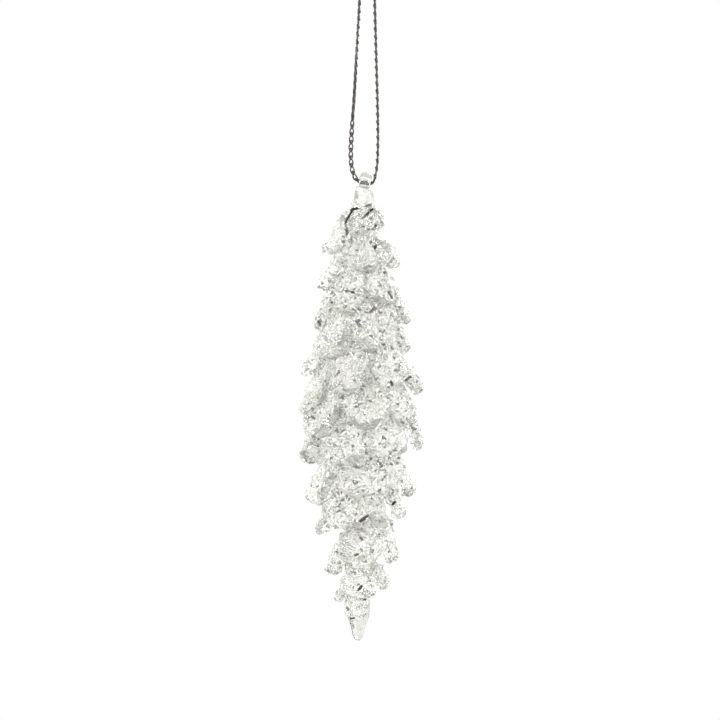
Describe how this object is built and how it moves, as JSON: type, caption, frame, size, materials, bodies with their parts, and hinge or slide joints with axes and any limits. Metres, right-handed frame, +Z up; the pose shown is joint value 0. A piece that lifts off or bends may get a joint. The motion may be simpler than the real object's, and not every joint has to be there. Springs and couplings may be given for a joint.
{
  "type": "icicle hanging ornament",
  "caption": "Slim solid glass icicle covered in downward overlapping scales, with a glass eye at its top and a knotted loop of metallic cord to hang it by.",
  "frame": {"origin": "the seat of the cord loop: the flat on the inside of the loop's top bend, where a hook carries it", "axes": "+Z up, away from the icicle's tip; +X along the cord's way through the glass eye, to the viewer's right; +Y to the back"},
  "size_m": [0.0389, 0.0381, 0.2272],
  "materials": {
    "crushed_glass": "clear glass, faces rough with fused crushed glass, rims smooth",
    "clear_glass": "smooth clear flameworked glass",
    "metallic_cord": "dark metallic yarn, chain stitched"
  },
  "bodies": {
    "hanger": {"cord_crown": "metallic_cord", "end_knot": "metallic_cord", "cord_end_left": "metallic_cord", "cord_end_right": "metallic_cord"},
    "loop": {"cord_strand_left": "metallic_cord", "cord_strand_right": "metallic_cord"},
    "bight": {"cord_bight": "metallic_cord"},
    "icicle": {"hanging_eye": "clear_glass", "core_rod": "clear_glass", "drip_tip": "clear_glass", "scale_01_right": "crushed_glass", "scale_01_front": "crushed_glass", "scale_01_left": "crushed_glass", "scale_01_back": "crushed_glass", "scale_02_right": "crushed_glass", "scale_02_front": "crushed_glass", "scale_02_left": "crushed_glass", "scale_02_back": "crushed_glass", "scale_03_right": "crushed_glass", "scale_03_front_right": "crushed_glass", "scale_03_front": "crushed_glass", "scale_03_left": "crushed_glass", "scale_03_back_left": "crushed_glass", "scale_03_back_right": "crushed_glass", "scale_04_right": "crushed_glass", "scale_04_front": "crushed_glass", "scale_04_front_left": "crushed_glass", "scale_04_left": "crushed_glass", "scale_04_back": "crushed_glass", "scale_05_right": "crushed_glass", "scale_05_front_right": "crushed_glass", "scale_05_front": "crushed_glass", "scale_05_left": "crushed_glass", "scale_05_back": "crushed_glass", "scale_06_right": "crushed_glass", "scale_06_front": "crushed_glass", "scale_06_front_left": "crushed_glass", "scale_06_back_left": "crushed_glass", "scale_06_back": "crushed_glass", "scale_06_back_right": "crushed_glass", "scale_07_right": "crushed_glass", "scale_07_front_right": "crushed_glass", "scale_07_front": "crushed_glass", "scale_07_left": "crushed_glass", "scale_07_back": "crushed_glass", "scale_08_right": "crushed_glass", "scale_08_front": "crushed_glass", "scale_08_left": "crushed_glass", "scale_08_back": "crushed_glass", "scale_09_right": "crushed_glass", "scale_09_front": "crushed_glass", "scale_09_left": "crushed_glass", "scale_09_back": "crushed_glass", "scale_10_right": "crushed_glass", "scale_10_front": "crushed_glass", "scale_10_left": "crushed_glass", "scale_10_back": "crushed_glass", "scale_11_right": "crushed_glass", "scale_11_front": "crushed_glass", "scale_11_left": "crushed_glass"}
  },
  "joints": [
    {"name": "loop_swing", "type": "hinge", "parent": "hanger", "child": "loop", "pos_m": [0, 0, -0.00116], "axis": [0, 1, 0], "range_deg": [-45, 45]},
    {"name": "loop_twist", "type": "hinge", "parent": "loop", "child": "bight", "pos_m": [0, 0, -0.06216], "axis": [0, 0, 1], "range_deg": [-180, 180]},
    {"name": "icicle_nod", "type": "hinge", "parent": "bight", "child": "icicle", "pos_m": [0, 0, -0.07416], "axis": [0.9781, 0, -0.2079], "range_deg": [-80, 80]}
  ]
}
